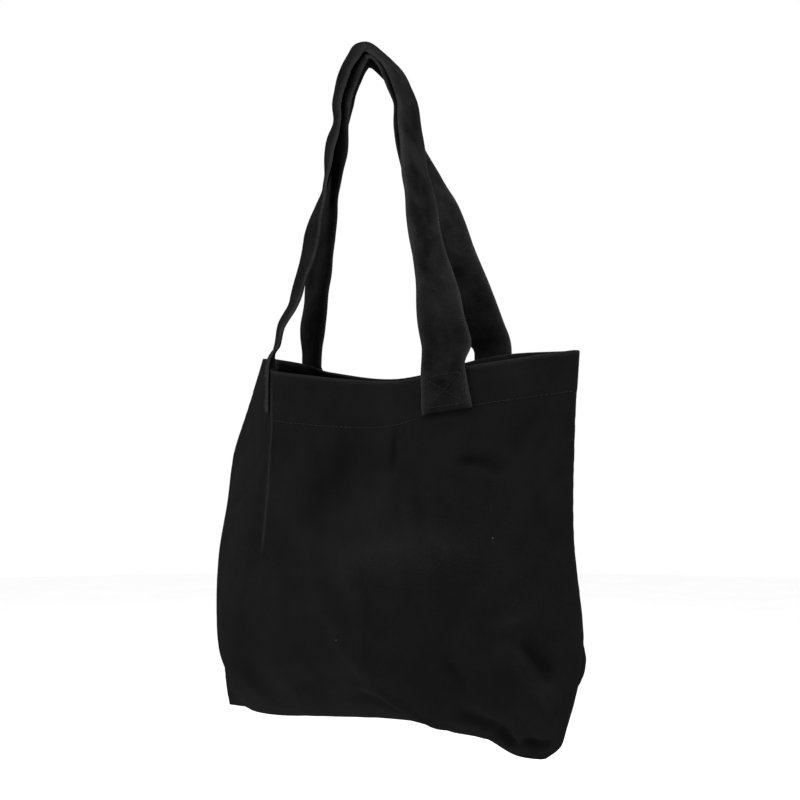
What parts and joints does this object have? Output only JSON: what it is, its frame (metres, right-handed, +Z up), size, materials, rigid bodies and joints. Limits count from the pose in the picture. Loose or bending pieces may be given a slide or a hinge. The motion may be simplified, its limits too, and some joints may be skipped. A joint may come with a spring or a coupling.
{
  "type": "canvas tote bag",
  "caption": "Soft black canvas shoulder tote with an open top, boxed bottom and flat strap handles that fold down outside, shown hung up by its handles.",
  "frame": {"origin": "the hang point, under the top of the back handle, where a hook or a hand holds the bag up", "axes": "+Z up, +X from the left side seam towards the right one, -Y out of the front panel"},
  "size_m": [0.3774, 0.1805, 0.549],
  "materials": {
    "canvas": "plain-woven heavy cotton canvas, matt",
    "turned_canvas": "turned-in canvas and overlocked seam allowance, matt",
    "strap_canvas": "folded and pressed canvas, matt, worn a little at its edges",
    "thread": "spun polyester thread, slight sheen"
  },
  "bodies": {
    "bag_body": {"front_panel": "canvas", "back_panel": "canvas", "front_hem": "turned_canvas", "back_hem": "turned_canvas", "right_side_seam": "turned_canvas", "left_side_seam": "turned_canvas", "bottom_seam": "turned_canvas", "front_right_handle_tab": "strap_canvas", "front_right_box_stitching": "thread", "front_left_handle_tab": "strap_canvas", "front_left_box_stitching": "thread", "back_left_handle_tab": "strap_canvas", "back_left_box_stitching": "thread", "back_right_handle_tab": "strap_canvas", "back_right_box_stitching": "thread", "front_right_hem_stitching": "thread", "front_middle_hem_stitching": "thread", "back_middle_hem_stitching": "thread", "back_right_hem_stitching": "thread"},
    "front_handle": {"front_handle": "strap_canvas"},
    "back_handle": {"back_handle": "strap_canvas"}
  },
  "joints": [
    {"name": "front_handle_fold", "type": "hinge", "parent": "bag_body", "child": "front_handle", "pos_m": [0.09152, -0.01065, -0.22174], "axis": [0.9815, 0.1907, -0.0181], "range_deg": [0, 120]},
    {"name": "back_handle_fold", "type": "hinge", "parent": "bag_body", "child": "back_handle", "pos_m": [0.08109, 0.06271, -0.21063], "axis": [-0.9102, -0.4125, -0.0368], "range_deg": [0, 150]}
  ]
}
